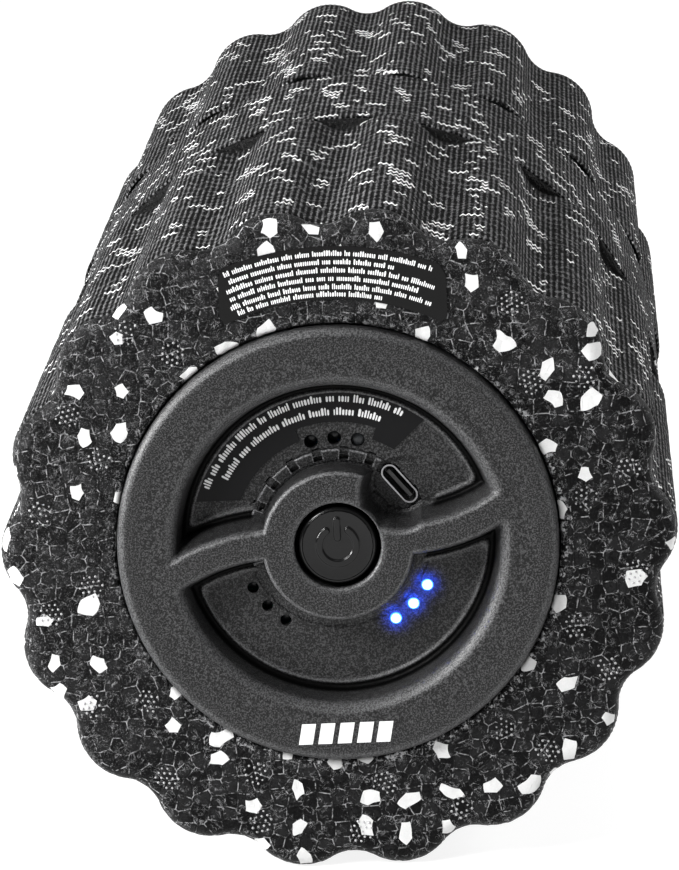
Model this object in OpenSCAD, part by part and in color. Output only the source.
// Vibrating foam roller: a bead-foam tube with lobes round a battery-powered vibrating core.
// Every module draws along its own +Z, which axial() turns so that the control end faces -Y
// and +Z is up. The origin is the centre of the roller, on its axis.

/* [Foam] */
// Length of the foam tube
foam_len = 312; // [290:2:330]
// Radius over the crests of the lobes
crest_r = 65; // [64:0.5:67]
// Depth of the valleys between the lobes
valley_depth = 3.3; // [2.5:0.1:4]
// Rounding radius of a crest
crest_arc = 11; // [10:0.25:11.5]
// Number of lobes round the foam
lobes = 18; // [16:1:20]
// Width of the plain band in the middle
band_w = 64; // [50:2:80]
// Radius of the plain band
band_r = 64; // [63:0.25:64.5]
// Thickness of the knit skin
fabric_t = 0.6; // [0.4:0.1:0.8]
// Rounding of the foam's end edges
end_round = 2.4; // [1.5:0.1:3]
// Bare foam left between each end face and the knit skin
bare_edge = 2.6; // [2:0.2:4]

/* [Core] */
// Outer radius of the core tube and of the end trims
core_r = 42.3; // [41.5:0.1:43]
// Wall thickness of the core tube
core_wall = 2.5; // [2:0.1:3]
// How far the end trims stand proud of the foam
cap_proud = 3; // [2:0.1:4]
// Depth of the control floor below the foam's end face
floor_depth = 5.5; // [5:0.1:6]

/* [Controls] */
// Radius of the hub round the button
hub_r = 14.5; // [14:0.1:14.6]
// Radius of the button
button_r = 7.45; // [7.2:0.05:7.5]
// Travel of the button
button_travel = 0.6; // [0.3:0.1:0.8]
// Radius of the circle that the lamps sit on
lamp_ring_r = 19.4; // [19.2:0.1:19.6]
// Angle between two lamps of a group
lamp_step = 13.35; // [13:0.05:13.6]
// Distance of the charging socket from the axis
usb_r = 15.6; // [15.4:0.1:15.8]
// Direction of the charging socket from the axis
usb_angle = 39.3; // [38:0.1:40]

/* [Motor] */
// Radius of the motor
motor_r = 18; // [17.8:0.1:18]
// Radius of the motor shaft
shaft_r = 2.5; // [2.4:0.05:2.6]
// Radius of the eccentric weights
weight_r = 14; // [11:0.5:16]
// Thickness of each eccentric weight
weight_t = 16; // [10:1:18]
// Number of balls in a bearing
balls = 8; // [6:1:9]

/* [Battery] */
// Radius of a cell
cell_r = 9.15; // [9:0.05:9.2]
// Length of a cell
cell_len = 65; // [64.5:0.5:65]

/* [Hidden] */
$fn = 96;
eps = 1;

// Stations along the axis, positive towards the control end
face_z = foam_len / 2;
lip_z = face_z + cap_proud;
floor_z = face_z - floor_depth;
plate_t = 2.2;
plate_back_z = floor_z - plate_t;
housing_z = face_z - 12.5;
flange_t = 3.5;
board_top_z = plate_back_z - 5.7;
board_t = 1.6;
board_back_z = board_top_z - board_t;
button_base_z = floor_z + 1.9;
bearing_z = 31;
bearing_w = 5;
weight_z = 36;
cell_z = 62.3;

// Radii and gaps of the foam and the core
fit_gap = 0.05;
foam_bore_r = core_r + 0.3;
crest_centre_r = crest_r - crest_arc;
valley_r = crest_r - valley_depth;
half_pitch = 180 / lobes;
cos_reach = crest_centre_r * cos(half_pitch);
valley_arc = (valley_r * valley_r - 2 * cos_reach * valley_r + crest_centre_r * crest_centre_r
              - crest_arc * crest_arc) / (2 * (cos_reach + crest_arc - valley_r));
valley_centre_r = valley_r + valley_arc;
arc_overlap = 0.02;
label_t = 0.3;
core_inner_r = core_r - core_wall;
flange_r = 31;

// Control end
ring_top_r = 32.2;
ring_foot_r = 29.3;
trim_wall = 2.2;
arm_bend_r = 36.6;
arm_start_x = 12;
arm_half_w = 3.05;
button_hole_r = 8.3;
button_flange_r = 8.9;
groove_in_r = 14.7;
groove_out_r = 17.5;
groove_depth = 1.2;
tooth_count = 20;
hook_ring_r = 37.6;
guide_r = 2.9;
crown_r = 1.6;
usb_notch_r = 6;
usb_well_r = 5.3;
usb_half_len = 4.47;
usb_half_w = 1.63;
top_group = 90;
left_group = 222;
right_group = 315;

// Screws: M3 for the caps and the housing, M2.2 for the board
m3_shaft_r = 1.2;
m3_pilot_r = 1.25;
m3_hole_r = 1.6;
m3_head_r = 2.75;
m3_head_h = 2.2;
cap_screw_r = 35.4;
cap_screw_grip = 9.5;
boss_r = 3.4;
boss_z = housing_z - 8;
boss_half = 6;
rear_dish_z = face_z - 1.5;
rear_seat_depth = 2.8;
screw_head_gap_r = 3.1;
board_screw_r = 26;
housing_screw_x = 33;
housing_screw_stations = [-105, 0, 105];
screw_seat = 10;

// Motor and bearings
can_wall = 1.2;
race_outer_r = 7;
race_fit = 0.03;
nose_r = race_outer_r + 1.3;
race_outer_land_r = 5.55;
race_inner_land_r = 3.95;
shaft_fit_r = shaft_r + 0.02;
ball_pitch_r = 4.75;
ball_r = 1.25;
groove_r = 1.3;
armature_r = 13.4;
armature_half = 15;
winding_half = 18.5;
slots = 5;
slot_pitch_r = 8.6;
shaft_clear_r = 4.8;
commutator_r = 5.5;
brush_z = 22;
damper_r = 20;
cradle_z = 21.5;
lead_r = 0.9;
lead_run_y = 30;
lead_start_y = 14.5;
lead_x = 1.4;
bell_z = 24;
bell_floor_z = 26.2;
body_end_z = 28.4;

// ---- shared shapes ----

module axial() {
    rotate([90, 0, 0]) children();
}

module around(count, radius, first = 0) {
    for (i = [0 : count - 1])
        rotate([0, 0, first + i * 360 / count]) translate([radius, 0, 0]) children();
}

module disc(r, z0, z1) {
    translate([0, 0, z0]) cylinder(r = r, h = z1 - z0);
}

module tube(r_out, r_in, z0, z1) {
    difference() {
        disc(r_out, z0, z1);
        disc(r_in, z0 - eps, z1 + eps);
    }
}

module block(x0, x1, y0, y1, z0, z1) {
    translate([x0, y0, z0]) cube([x1 - x0, y1 - y0, z1 - z0]);
}

// Flat wedge between two directions, wide enough to cut anything in the roller
module wedge(from_angle, to_angle, reach = 60) {
    steps = ceil((to_angle - from_angle) / 45);
    rim = [for (i = [0 : steps]) from_angle + (to_angle - from_angle) * i / steps];
    polygon(concat([[0, 0]], [for (a = rim) reach * [cos(a), sin(a)]]));
}

// Part of a tube between two directions
module tube_sector(r_out, r_in, z0, z1, from_angle, to_angle) {
    intersection() {
        tube(r_out, r_in, z0, z1);
        translate([0, 0, z0 - eps]) linear_extrude(z1 - z0 + 2 * eps)
            wedge(from_angle, to_angle);
    }
}

module stadium(half_len, half_w, z0, z1) {
    reach = half_len - half_w;
    for (side = [-1, 1])
        translate([0, side * reach, z0]) cylinder(r = half_w, h = z1 - z0);
    block(-half_w, half_w, -reach, reach, z0, z1);
}

// Pan-head screw along +Z with its head below z = 0
module screw(shaft_r, shaft_len, head_r, head_h) {
    difference() {
        union() {
            translate([0, 0, -head_h / 2]) cylinder(r = shaft_r, h = shaft_len + head_h / 2);
            translate([0, 0, -head_h]) cylinder(r = head_r, h = head_h);
        }
        translate([0, 0, -head_h - eps]) cylinder(r = head_r * 0.45, h = eps + head_h * 0.55, $fn = 6);
    }
}

// Helical spring of round wire along +Z, as one swept tube
module coil(mean_r, wire_r, height, turns, steps = 16, sides = 6) {
    rings = turns * steps;
    rise = (height - 2 * wire_r) / rings;
    points = [for (i = [0 : rings], k = [0 : sides - 1])
        let (a = i * 360 / steps, b = k * 360 / sides, r = mean_r + wire_r * cos(b))
            [r * cos(a), r * sin(a), wire_r + i * rise + wire_r * sin(b)]];
    skin = [for (i = [0 : rings - 1], k = [0 : sides - 1])
        let (n = (k + 1) % sides)
            [i * sides + k, (i + 1) * sides + k, (i + 1) * sides + n, i * sides + n]];
    first_end = [for (k = [0 : sides - 1]) k];
    last_end = [for (k = [sides - 1 : -1 : 0]) rings * sides + k];
    polyhedron(points, concat(skin, [first_end, last_end]), convexity = 6);
}

// ---- foam and skins ----

// Lobed outline: crest arcs and valley arcs that run into each other, grown by skin
module lobed_outline(skin) {
    star = [for (i = [0 : 2 * lobes - 1])
        let (r = i % 2 == 0 ? crest_centre_r : valley_centre_r, a = i * half_pitch)
            r * [cos(a), sin(a)]];
    difference() {
        union() {
            polygon(star);
            around(lobes, crest_centre_r) circle(r = crest_arc + skin);
        }
        around(lobes, valley_centre_r, half_pitch)
            circle(r = valley_arc + arc_overlap - skin);
    }
}

module lobed_prism(skin, z0, z1) {
    translate([0, 0, z0]) linear_extrude(z1 - z0) lobed_outline(skin);
}

// Envelope with rounded end edges
module rounded_envelope() {
    rotate_extrude() {
        translate([0, -face_z]) square([crest_r - end_round, foam_len]);
        translate([0, end_round - face_z]) square([crest_r, foam_len - 2 * end_round]);
        for (side = [-1, 1])
            translate([crest_r - end_round, side * (face_z - end_round)]) circle(r = end_round);
    }
}

module foam_body() {
    skin = -fabric_t - fit_gap;
    color([0.07, 0.07, 0.075]) axial() difference() {
        union() {
            intersection() {
                lobed_prism(skin, band_w / 2, face_z);
                rounded_envelope();
            }
            intersection() {
                lobed_prism(skin, -face_z, -band_w / 2);
                rounded_envelope();
            }
            disc(band_r + skin, -band_w / 2 - 0.01, band_w / 2 + 0.01);
        }
        disc(foam_bore_r, -face_z - eps, face_z + eps);
        label_plate(0.3, face_z - label_t - fit_gap, face_z + eps);
    }
}

module lobed_fabric(z0, z1) {
    difference() {
        lobed_prism(0, z0, z1);
        lobed_prism(-fabric_t, z0 - eps, z1 + eps);
    }
}

module front_fabric() {
    color([0.16, 0.16, 0.17]) axial() lobed_fabric(band_w / 2 + 0.1, face_z - bare_edge);
}

module rear_fabric() {
    color([0.16, 0.16, 0.17]) axial() lobed_fabric(bare_edge - face_z, -band_w / 2 - 0.1);
}

module band_fabric() {
    color([0.14, 0.14, 0.15]) axial()
        tube(band_r, band_r - fabric_t, -band_w / 2, band_w / 2);
}

// Curved plate of the rating label, which lies in a shallow pocket of the foam
module label_plate(margin, z0, z1) {
    intersection() {
        tube(57.6 + margin, 47.4 - margin, z0, z1);
        block(-20.4 - margin, 22.9 + margin, 30, 60, z0 - eps, z1 + eps);
    }
}

module rating_label() {
    color([0.03, 0.03, 0.03]) axial() label_plate(0, face_z - label_t, face_z - 0.02);
}

// ---- control end ----

// Band of the S-shaped arm: an arc that leaves the hub level and climbs to the ring
module arm(half_w, z0, z1) {
    intersection() {
        translate([arm_start_x, arm_bend_r, 0])
            tube(arm_bend_r + half_w, arm_bend_r - half_w, z0, z1);
        block(hub_r - 1.5, ring_top_r + 0.6, -6, 14, z0 - eps, z1 + eps);
    }
}

// Section of the outer ring, thickest round its crown, hollow underneath
module ring_section() {
    difference() {
        union() {
            polygon([
                [ring_foot_r, floor_z],
                [core_r, floor_z],
                [core_r, lip_z - crown_r],
                [core_r - crown_r, lip_z],
                [ring_top_r + 1, lip_z],
                [ring_top_r, lip_z - 0.6]
            ]);
            translate([core_r - crown_r, lip_z - crown_r]) circle(r = crown_r);
            translate([core_r - trim_wall, housing_z]) square([trim_wall, floor_z - housing_z + 0.1]);
        }
        polygon([
            [ring_foot_r + trim_wall, floor_z - 0.01],
            [core_r - trim_wall, floor_z - 0.01],
            [core_r - trim_wall, lip_z - trim_wall],
            [ring_top_r + trim_wall, lip_z - trim_wall]
        ]);
    }
}

module hub_body() {
    round_r = 1.2;
    rotate_extrude() difference() {
        union() {
            translate([button_hole_r, floor_z]) square([hub_r - button_hole_r, lip_z - floor_z - round_r]);
            translate([button_hole_r, floor_z])
                square([hub_r - button_hole_r - round_r, lip_z - floor_z]);
            translate([hub_r - round_r, lip_z - round_r]) circle(r = round_r);
        }
        polygon([
            [button_hole_r - 0.1, lip_z - 0.5],
            [button_hole_r + 0.6, lip_z + 0.2],
            [button_hole_r - 0.1, lip_z + 0.2]
        ]);
        translate([button_hole_r - eps, floor_z - eps])
            square([button_flange_r + 0.4 - button_hole_r + eps, eps + 2.8]);
        translate([11, floor_z - eps]) square([1.7, eps + 6.3]);
    }
}

// Hook that goes through the control plate and grips its back
module bezel_hook() {
    block(-1.5, 0, -2, 2, plate_back_z - 1.4, lip_z - trim_wall + 0.2);
    block(-1.5, 0.6, -2, 2, plate_back_z - 1.4, plate_back_z - 0.1);
}

module front_bezel() {
    color([0.13, 0.13, 0.135]) axial() {
        difference() {
            union() {
                rotate_extrude() ring_section();
                hub_body();
                for (turn = [0, 180])
                    rotate([0, 0, turn]) arm(arm_half_w, floor_z, lip_z);
            }
            for (turn = [0, 180])
                rotate([0, 0, turn]) intersection() {
                    arm(arm_half_w - 1.6, floor_z - eps, lip_z - trim_wall);
                    tube(ring_foot_r, hub_r, floor_z - 2 * eps, lip_z);
                }
            rotate([0, 0, usb_angle]) translate([usb_r, 0, 0]) disc(usb_notch_r, floor_z - eps, lip_z + eps);
        }
        around(4, hook_ring_r, 0) bezel_hook();
    }
}

module lamp_holes(group, r) {
    for (i = [-1 : 1])
        rotate([0, 0, group + i * lamp_step]) translate([lamp_ring_r, 0, 0])
            disc(r, plate_back_z - eps, floor_z + eps);
}

module control_plate() {
    skirt_r = 39.2;
    color([0.12, 0.12, 0.125]) axial() difference() {
        union() {
            disc(skirt_r, plate_back_z, floor_z);
            tube(skirt_r, skirt_r - 2, housing_z, plate_back_z + 0.01);
            tube(4.4, guide_r, plate_back_z, button_base_z - button_travel - 0.3);
            around(4, cap_screw_r, 45) tube(boss_r, m3_hole_r, housing_z, plate_back_z + 0.01);
            around(4, board_screw_r, 20) disc(2.6, board_top_z, plate_back_z + 0.01);
        }
        disc(guide_r, plate_back_z - eps, floor_z + 2 * eps);
        tube(groove_out_r, groove_in_r, floor_z - groove_depth, floor_z + eps);
        around(tooth_count, groove_out_r - 0.6, 66)
            block(-0.9, 0.9, -0.8, 0.8, floor_z - 1.8, floor_z + eps);
        around(4, cap_screw_r, 45) disc(m3_hole_r, housing_z - eps, floor_z + eps);
        around(4, board_screw_r, 20) disc(0.95, board_top_z - eps, board_top_z + 5);
        around(4, hook_ring_r, 0) block(-1.7, 0.9, -2.3, 2.3, housing_z - eps, floor_z + eps);
        lamp_holes(top_group, 1.35);
        lamp_holes(left_group, 1.1);
        lamp_holes(right_group, 1.2);
        rotate([0, 0, usb_angle]) translate([usb_r, 0, 0]) {
            disc(usb_well_r, floor_z - 0.8, floor_z + eps);
            stadium(usb_half_len + 0.15, usb_half_w + 0.15, plate_back_z - eps, floor_z + eps);
        }
    }
}

// Three light guides on one curved bar behind the plate
module light_guide(group, rod_r, top_depth) {
    bar_top = plate_back_z - 1.1;
    tube_sector(lamp_ring_r + 0.9, lamp_ring_r - 0.9, bar_top - 1.8, bar_top, group - 17, group + 17);
    for (i = [-1 : 1])
        rotate([0, 0, group + i * lamp_step]) translate([lamp_ring_r, 0, 0])
            disc(rod_r, board_top_z + 1, floor_z - top_depth);
}

module level_lens() {
    color([0.4, 0.42, 0.45]) axial() light_guide(top_group, 1.25, 0.5);
}

module mode_lens() {
    color([0.3, 0.32, 0.35]) axial() light_guide(left_group, 1.0, 0.9);
}

module speed_lens() {
    color([0.45, 0.75, 1]) axial() light_guide(right_group, 1.1, 0.15);
}

module control_film() {
    film_z = floor_z + 0.25;
    color([0.05, 0.05, 0.055]) axial() difference() {
        tube(28.7, 20.2, floor_z, film_z);
        block(-40, 40, -40, 8, floor_z - eps, film_z + eps);
        translate([10.2, 15.8, floor_z - eps]) rotate([0, 0, 42])
            translate([-40, -40, 0]) cube([80, 40, 3]);
        tube_sector(22.6, 15, floor_z - eps, film_z + eps, 69, 109);
    }
}

// Row of slanted bars
module front_mark() {
    bar_w = 2.7;
    slant = 0.8;
    tall = 4;
    color([0.95, 0.95, 0.95]) axial() for (i = [0 : 4])
        translate([-9.3 + 3.72 * i, -38.7, lip_z]) linear_extrude(0.08)
            polygon([[0, 0], [bar_w, 0], [bar_w + slant, tall], [slant, tall]]);
}

module power_button() {
    top_z = lip_z - 0.6;
    edge = 0.9;
    color([0.06, 0.06, 0.065]) axial() {
        rotate_extrude() difference() {
            union() {
                translate([0, button_base_z]) square([button_flange_r, 0.85]);
                translate([0, button_base_z]) square([button_r, top_z - edge - button_base_z]);
                translate([0, button_base_z]) square([button_r - edge, top_z - button_base_z]);
                translate([button_r - edge, top_z - edge]) circle(r = edge);
            }
            translate([4.6, floor_z + 1]) square([1.9, 5]);
        }
        disc(guide_r - 0.1, board_top_z + 4.85, button_base_z + 0.1);
    }
}

module button_spring() {
    color([0.75, 0.75, 0.77]) axial() translate([0, 0, floor_z + 0.02])
        coil(5.55, 0.4, 5.4, 5);
}

module switch_body() {
    color([0.1, 0.1, 0.1]) axial() difference() {
        block(-3.2, 3.2, -3.2, 3.2, board_top_z, board_top_z + 3.6);
        disc(1.83, board_top_z + 0.8, board_top_z + 5);
    }
}

module switch_plunger() {
    color([0.75, 0.72, 0.66]) axial() disc(1.75, board_top_z + 1.7, board_top_z + 4.8);
}

module at_usb() {
    axial() rotate([0, 0, usb_angle]) translate([usb_r, 0, 0]) children();
}

module usb_shell() {
    wall = 0.3;
    color([0.8, 0.8, 0.82]) at_usb() difference() {
        stadium(usb_half_len, usb_half_w, board_top_z, floor_z - 0.4);
        stadium(usb_half_len - wall, usb_half_w - wall, board_top_z + 1, floor_z);
    }
}

module usb_tongue() {
    color([0.08, 0.08, 0.08]) at_usb() {
        stadium(usb_half_len - 0.35, usb_half_w - 0.35, board_top_z + 1, board_top_z + 2.2);
        block(-0.35, 0.35, -3.35, 3.35, board_top_z + 2, floor_z - 1.2);
    }
}

module main_board() {
    color([0.05, 0.3, 0.15]) axial() difference() {
        disc(29.5, board_back_z, board_top_z);
        around(4, board_screw_r, 20) disc(1.2, board_back_z - eps, board_top_z + eps);
        translate([0, 27, 0]) disc(3, board_back_z - eps, board_top_z + eps);
    }
}

module board_screws() {
    color([0.7, 0.7, 0.72]) axial() around(4, board_screw_r, 20)
        translate([0, 0, board_back_z]) screw(0.9, 5.8, 1.9, 1.3);
}

module status_lamps() {
    color([0.9, 0.9, 0.8]) axial()
        for (group = [top_group, left_group, right_group], i = [-1 : 1])
            rotate([0, 0, group + i * lamp_step]) translate([lamp_ring_r, 0, 0])
                block(-0.65, 0.65, -1, 1, board_top_z, board_top_z + 0.7);
}

module board_chips() {
    color([0.1, 0.1, 0.1]) axial() {
        block(6, 12, -9, -3, board_back_z - 1, board_back_z);
        block(-13, -8, -3, 2, board_back_z - 1, board_back_z);
        block(-4, 2, -20, -14, board_back_z - 2.4, board_back_z);
        translate([13, 6, board_back_z - 4]) cylinder(r = 2.5, h = 4);
    }
}

module lead_sockets() {
    color([0.9, 0.88, 0.8]) axial() {
        block(-7.5, -1.5, 1, 6, board_back_z - 5, board_back_z);
        block(-3, 3, 14, 19, board_back_z - 5, board_back_z);
    }
}

// ---- core tube ----

// Whole core tube, before it is split in two halves
module housing_body() {
    rib_t = 2.5;
    tube(core_r, core_inner_r, -housing_z, housing_z);
    for (side = [-1, 1]) {
        flange_z = side * (housing_z - flange_t / 2);
        tube(core_r, flange_r, flange_z - flange_t / 2, flange_z + flange_t / 2);
        around(4, cap_screw_r, 45)
            tube(boss_r, m3_pilot_r, side * boss_z - boss_half, side * boss_z + boss_half);
        difference() {
            disc(core_inner_r + 0.1, side * cradle_z - 1.2, side * cradle_z + 1.2);
            disc(damper_r + 0.1, side * cradle_z - 2, side * cradle_z + 2);
        }
    }
    for (z = [cell_z + 5, cell_z + 55])
        difference() {
            disc(core_inner_r + 0.1, z, z + rib_t);
            block(-21, 21, -11.7, 11.7, z - eps, z + rib_t + eps);
        }
    for (z = [-115, -80])
        tube(core_inner_r + 0.1, 31, z, z + rib_t);
    intersection() {
        for (z = housing_screw_stations, x = [-1, 1])
            translate([x * housing_screw_x, 26, z]) rotate([90, 0, 0]) cylinder(r = 4.2, h = 52);
        disc(core_inner_r + 0.1, -housing_z, housing_z);
    }
}

module housing_cuts() {
    for (side = [-1, 1])
        around(4, cap_screw_r, 45)
            disc(m3_pilot_r, side * (boss_z + eps) - boss_half - 2 * eps,
                 side * (boss_z + eps) + boss_half + 2 * eps);
    translate([0, lead_run_y, 0]) disc(3, 40, housing_z - 20);
}

module upper_housing() {
    color([0.2, 0.2, 0.21]) axial() difference() {
        intersection() {
            housing_body();
            block(-50, 50, 0, 50, -housing_z, housing_z);
        }
        housing_cuts();
        for (z = housing_screw_stations, x = [-1, 1])
            translate([x * housing_screw_x, 14, z]) rotate([90, 0, 0])
                cylinder(r = m3_pilot_r, h = 15);
    }
}

module lower_housing() {
    color([0.2, 0.2, 0.21]) axial() difference() {
        intersection() {
            housing_body();
            block(-50, 50, -50, 0, -housing_z, housing_z);
        }
        housing_cuts();
        for (z = housing_screw_stations, x = [-1, 1])
            translate([x * housing_screw_x, 0, z]) {
                translate([0, eps, 0]) rotate([90, 0, 0]) cylinder(r = m3_hole_r, h = 20);
                translate([0, -screw_seat, 0]) rotate([90, 0, 0]) cylinder(r = screw_head_gap_r, h = 40);
            }
    }
}

module housing_screws() {
    color([0.7, 0.7, 0.72]) axial()
        for (z = housing_screw_stations, x = [-1, 1])
            translate([x * housing_screw_x, -screw_seat, z]) rotate([-90, 0, 0])
                screw(m3_shaft_r, 22, m3_head_r, m3_head_h);
}

module front_cap_screws() {
    color([0.7, 0.7, 0.72]) axial() around(4, cap_screw_r, 45)
        translate([0, 0, floor_z]) rotate([180, 0, 0])
            screw(m3_shaft_r, floor_z - housing_z + cap_screw_grip, m3_head_r, m3_head_h);
}

module rear_cap() {
    color([0.13, 0.13, 0.135]) axial() mirror([0, 0, 1]) difference() {
        union() {
            rotate_extrude() {
                translate([0, rear_dish_z - 2.4]) square([core_r, 2.4]);
                translate([core_r - trim_wall, housing_z])
                    square([trim_wall, lip_z - crown_r - housing_z]);
                polygon([
                    [38.7, rear_dish_z - 0.1],
                    [core_r, rear_dish_z - 0.1],
                    [core_r, lip_z - crown_r],
                    [core_r - crown_r, lip_z],
                    [39.8, lip_z]
                ]);
                translate([core_r - crown_r, lip_z - crown_r]) circle(r = crown_r);
            }
            around(4, cap_screw_r, 45) disc(4.2, housing_z, rear_dish_z);
            tube(12, 10.5, rear_dish_z - 6, rear_dish_z);
        }
        around(4, cap_screw_r, 45) {
            disc(m3_hole_r, housing_z - eps, rear_dish_z + eps);
            disc(screw_head_gap_r, rear_dish_z - rear_seat_depth, lip_z + eps);
        }
    }
}

module rear_cap_screws() {
    seat_z = rear_dish_z - rear_seat_depth;
    color([0.7, 0.7, 0.72]) axial() mirror([0, 0, 1]) around(4, cap_screw_r, 45)
        translate([0, 0, seat_z]) rotate([180, 0, 0])
            screw(m3_shaft_r, seat_z - housing_z + cap_screw_grip, m3_head_r, m3_head_h);
}

// ---- battery ----

module each_cell() {
    for (side = [-1, 1])
        translate([side * 9.6, 0, 0]) children();
}

module battery_cells() {
    color([0.2, 0.45, 0.75]) axial() each_cell() difference() {
        union() {
            disc(cell_r, cell_z, cell_z + cell_len - 1);
            disc(3.2, cell_z, cell_z + cell_len);
        }
        tube(cell_r + eps, cell_r - 0.25, cell_z + cell_len - 4, cell_z + cell_len - 3);
    }
}

module battery_tray() {
    color([0.85, 0.85, 0.83]) axial() difference() {
        block(-20.7, 20.7, -11.4, 0, cell_z - 2.5, cell_z + cell_len + 5);
        each_cell() disc(cell_r + 0.15, cell_z - 0.6, cell_z + cell_len + 3);
        block(-15, 15, -6, eps, cell_z - 0.6, cell_z + cell_len + 3);
    }
}

module cell_tabs() {
    color([0.8, 0.78, 0.7]) axial() {
        block(-12, 12, -3, 3, cell_z - 0.25, cell_z - 0.05);
        each_cell() block(-3, 3, -3, 3, cell_z + cell_len + 0.05, cell_z + cell_len + 0.25);
    }
}

module battery_board() {
    color([0.05, 0.3, 0.15]) axial()
        block(-14, 14, -5, 5, cell_z + cell_len + 0.4, cell_z + cell_len + 1.4);
}

module battery_leads() {
    color([0.7, 0.08, 0.08]) axial()
        for (x = [-6, -3])
            translate([x, 3.5, 0]) disc(lead_r, cell_z + cell_len + 1.4, board_back_z - 5);
}

// ---- motor ----

module motor_can() {
    nose_z = bearing_z + bearing_w / 2;
    color([0.62, 0.62, 0.64]) axial() mirror([0, 0, 1]) difference() {
        union() {
            disc(motor_r, -bell_z, body_end_z);
            disc(nose_r, body_end_z - 0.1, nose_z + 0.8);
        }
        disc(motor_r - can_wall, -bell_z - eps, body_end_z - can_wall);
        disc(race_outer_r + race_fit, bearing_z - bearing_w / 2, nose_z);
        disc(shaft_clear_r, 20, 40);
    }
}

module motor_end_bell() {
    nose_z = bearing_z + bearing_w / 2;
    color([0.1, 0.1, 0.11]) axial() difference() {
        union() {
            disc(motor_r, bell_z, body_end_z);
            disc(nose_r, body_end_z - 0.1, nose_z + 0.8);
        }
        disc(13.8, bell_z - eps, bell_floor_z);
        disc(race_outer_r + race_fit, bearing_z - bearing_w / 2, nose_z);
        disc(shaft_clear_r, 20, 40);
        for (x = [-lead_x, lead_x])
            translate([x, lead_start_y, 0]) disc(lead_r + 0.15, bell_floor_z - 3, 30);
    }
}

module motor_magnets() {
    color([0.25, 0.25, 0.27]) axial()
        for (turn = [0, 180])
            tube_sector(motor_r - can_wall - 0.05, armature_r + 0.5, -19, 19, turn - 62, turn + 62);
}

module each_brush() {
    for (turn = [0, 180])
        rotate([0, 0, turn]) children();
}

module motor_brushes() {
    color([0.15, 0.15, 0.15]) axial() each_brush()
        block(commutator_r + 0.1, 9.6, -1.8, 1.8, brush_z - 1.5, brush_z + 1.5);
}

module brush_holders() {
    color([0.8, 0.65, 0.3]) axial() each_brush() difference() {
        block(6.6, 13.4, -2.4, 2.4, brush_z - 2.1, bell_floor_z);
        block(6, 12.9, -1.9, 1.9, brush_z - 1.6, brush_z + 1.6);
    }
}

module brush_springs() {
    color([0.7, 0.7, 0.72]) axial() each_brush()
        translate([9.65, 0, brush_z]) rotate([0, 90, 0]) coil(1.1, 0.15, 3.2, 4, 10, 5);
}

module motor_shaft() {
    shaft_half = weight_z + weight_t + 2;
    color([0.8, 0.8, 0.82]) axial() disc(shaft_r, -shaft_half, shaft_half);
}

module armature_core() {
    color([0.5, 0.5, 0.52]) axial() difference() {
        disc(armature_r, -armature_half, armature_half);
        disc(shaft_fit_r, -armature_half - eps, armature_half + eps);
        around(slots, slot_pitch_r) disc(3.3, -armature_half - eps, armature_half + eps);
        around(slots, 11) block(0, 4, -0.9, 0.9, -armature_half - eps, armature_half + eps);
    }
}

module armature_windings() {
    color([0.75, 0.38, 0.15]) axial() {
        around(slots, slot_pitch_r) disc(3.1, -winding_half, winding_half);
        for (side = [-1, 1])
            tube(11.6, 4.6, side * 16.85 - 1.65, side * 16.85 + 1.65);
    }
}

module commutator() {
    color([0.75, 0.45, 0.2]) axial() difference() {
        tube(commutator_r, shaft_fit_r, 19.2, 25);
        around(slots, commutator_r, 36) block(-1, 1, -0.3, 0.3, 19, 26);
    }
}

// ---- bearings ----

module at_bearing(side) {
    axial() translate([0, 0, side * bearing_z]) children();
}

module race_groove() {
    translate([ball_pitch_r, 0]) circle(r = groove_r, $fn = 48);
}

module outer_race() {
    rotate_extrude() difference() {
        translate([race_outer_land_r, -bearing_w / 2])
            square([race_outer_r - race_outer_land_r, bearing_w]);
        race_groove();
    }
}

module inner_race() {
    rotate_extrude() difference() {
        translate([shaft_fit_r, -bearing_w / 2])
            square([race_inner_land_r - shaft_fit_r, bearing_w]);
        race_groove();
    }
}

module ball_set() {
    around(balls, ball_pitch_r) sphere(r = ball_r);
}

module ball_cage() {
    difference() {
        tube(5.25, 4.25, -0.6, 2.2);
        around(balls, ball_pitch_r) sphere(r = ball_r + 0.08);
    }
}

module front_outer_race() {
    color([0.75, 0.75, 0.77]) at_bearing(1) outer_race();
}

module front_balls() {
    color([0.85, 0.85, 0.87]) at_bearing(1) ball_set();
}

module front_cage() {
    color([0.8, 0.65, 0.3]) at_bearing(1) ball_cage();
}

module front_inner_race() {
    color([0.75, 0.75, 0.77]) at_bearing(1) inner_race();
}

module rear_outer_race() {
    color([0.75, 0.75, 0.77]) at_bearing(-1) outer_race();
}

module rear_balls() {
    color([0.85, 0.85, 0.87]) at_bearing(-1) ball_set();
}

module rear_cage() {
    color([0.8, 0.65, 0.3]) at_bearing(-1) ball_cage();
}

module rear_inner_race() {
    color([0.75, 0.75, 0.77]) at_bearing(-1) inner_race();
}

// ---- eccentric weights ----

// Half disc that hangs below the shaft, with a hub round it
module weight(z0) {
    difference() {
        union() {
            intersection() {
                disc(weight_r, z0, z0 + weight_t);
                block(-20, 20, -20, 0, z0 - eps, z0 + weight_t + eps);
            }
            disc(6, z0, z0 + weight_t);
        }
        disc(shaft_fit_r, z0 - eps, z0 + weight_t + eps);
        translate([0, 7, z0 + weight_t / 2]) rotate([90, 0, 0]) cylinder(r = 1.5, h = 5);
    }
}

module front_weight() {
    color([0.45, 0.45, 0.47]) axial() weight(weight_z);
}

module rear_weight() {
    color([0.45, 0.45, 0.47]) axial() weight(-weight_z - weight_t);
}

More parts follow.
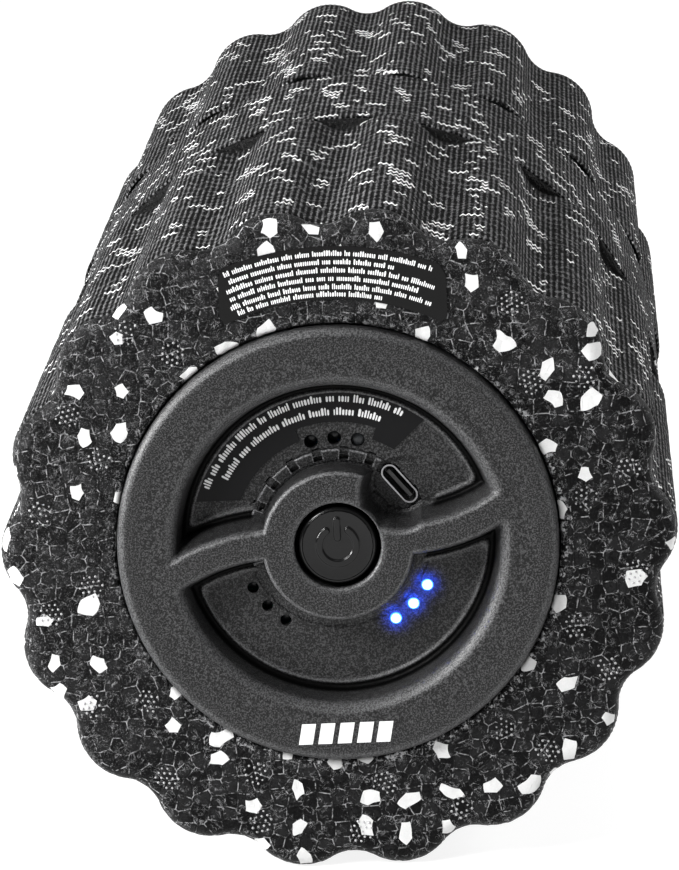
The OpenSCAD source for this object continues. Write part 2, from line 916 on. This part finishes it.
module weight_screws() {
    color([0.2, 0.2, 0.2]) axial()
        for (side = [-1, 1])
            translate([0, 5.9, side * (weight_z + weight_t / 2)]) rotate([90, 0, 0]) difference() {
                cylinder(r = 1.45, h = 3.35);
                translate([0, 0, -eps]) cylinder(r = 0.75, h = 1.6 + eps, $fn = 6);
            }
}

// ---- motor mounts and leads ----

module damper() {
    rotate_extrude() {
        translate([motor_r + 0.05, -3.8]) square([damper_r - motor_r - 0.05, 7.6]);
        for (side = [-1, 1])
            translate([motor_r + 0.05, side * 2.6 - 1.2]) square([4.2, 2.4]);
    }
}

module front_damper() {
    color([0.08, 0.08, 0.08]) axial() translate([0, 0, cradle_z]) damper();
}

module rear_damper() {
    color([0.08, 0.08, 0.08]) axial() translate([0, 0, -cradle_z]) damper();
}

// Quarter bend in the plane of +Y and +Z, from straight up Z to straight along Y
module lead_bend(bend_r) {
    rotate([0, -90, 0]) rotate_extrude(angle = 90) translate([bend_r, 0]) circle(r = lead_r, $fn = 24);
}

module motor_lead(start_z, turn_z, end_z) {
    bend_r = 2.6;
    end_y = 16.5;
    translate([0, lead_start_y, 0]) disc(lead_r, start_z, turn_z - bend_r);
    translate([0, lead_start_y + bend_r, turn_z - bend_r]) mirror([0, 1, 0]) lead_bend(bend_r);
    translate([0, lead_start_y + bend_r, turn_z]) rotate([-90, 0, 0])
        cylinder(r = lead_r, h = lead_run_y - lead_start_y - 2 * bend_r);
    translate([0, lead_run_y - bend_r, turn_z + bend_r]) mirror([0, 0, 1]) lead_bend(bend_r);
    translate([0, lead_run_y, 0]) disc(lead_r, turn_z + bend_r, end_z - 3 * bend_r);
    translate([0, lead_run_y - bend_r, end_z - 3 * bend_r]) lead_bend(bend_r);
    translate([0, end_y + bend_r, end_z - 2 * bend_r]) rotate([-90, 0, 0])
        cylinder(r = lead_r, h = lead_run_y - end_y - 2 * bend_r);
    translate([0, end_y + bend_r, end_z - bend_r]) mirror([0, 1, 0]) mirror([0, 0, 1])
        lead_bend(bend_r);
    translate([0, end_y, 0]) disc(lead_r, end_z - bend_r, end_z);
}

module motor_leads() {
    color([0.1, 0.1, 0.1]) axial()
        for (x = [-lead_x, lead_x])
            translate([x, 0, 0]) motor_lead(bell_floor_z + 0.2, bearing_z + 1.5, board_back_z - 5);
}

foam_body();
front_fabric();
band_fabric();
rear_fabric();
front_bezel();
control_plate();
power_button();
button_spring();
switch_plunger();
switch_body();
level_lens();
mode_lens();
speed_lens();
control_film();
rating_label();
front_mark();
usb_shell();
usb_tongue();
main_board();
board_screws();
status_lamps();
board_chips();
lead_sockets();
upper_housing();
lower_housing();
housing_screws();
front_cap_screws();
rear_cap();
rear_cap_screws();
battery_cells();
battery_tray();
cell_tabs();
battery_board();
battery_leads();
motor_can();
motor_magnets();
motor_end_bell();
brush_holders();
motor_brushes();
brush_springs();
motor_shaft();
armature_core();
armature_windings();
commutator();
front_outer_race();
front_balls();
front_cage();
front_inner_race();
rear_outer_race();
rear_balls();
rear_cage();
rear_inner_race();
front_weight();
rear_weight();
weight_screws();
front_damper();
rear_damper();
motor_leads();
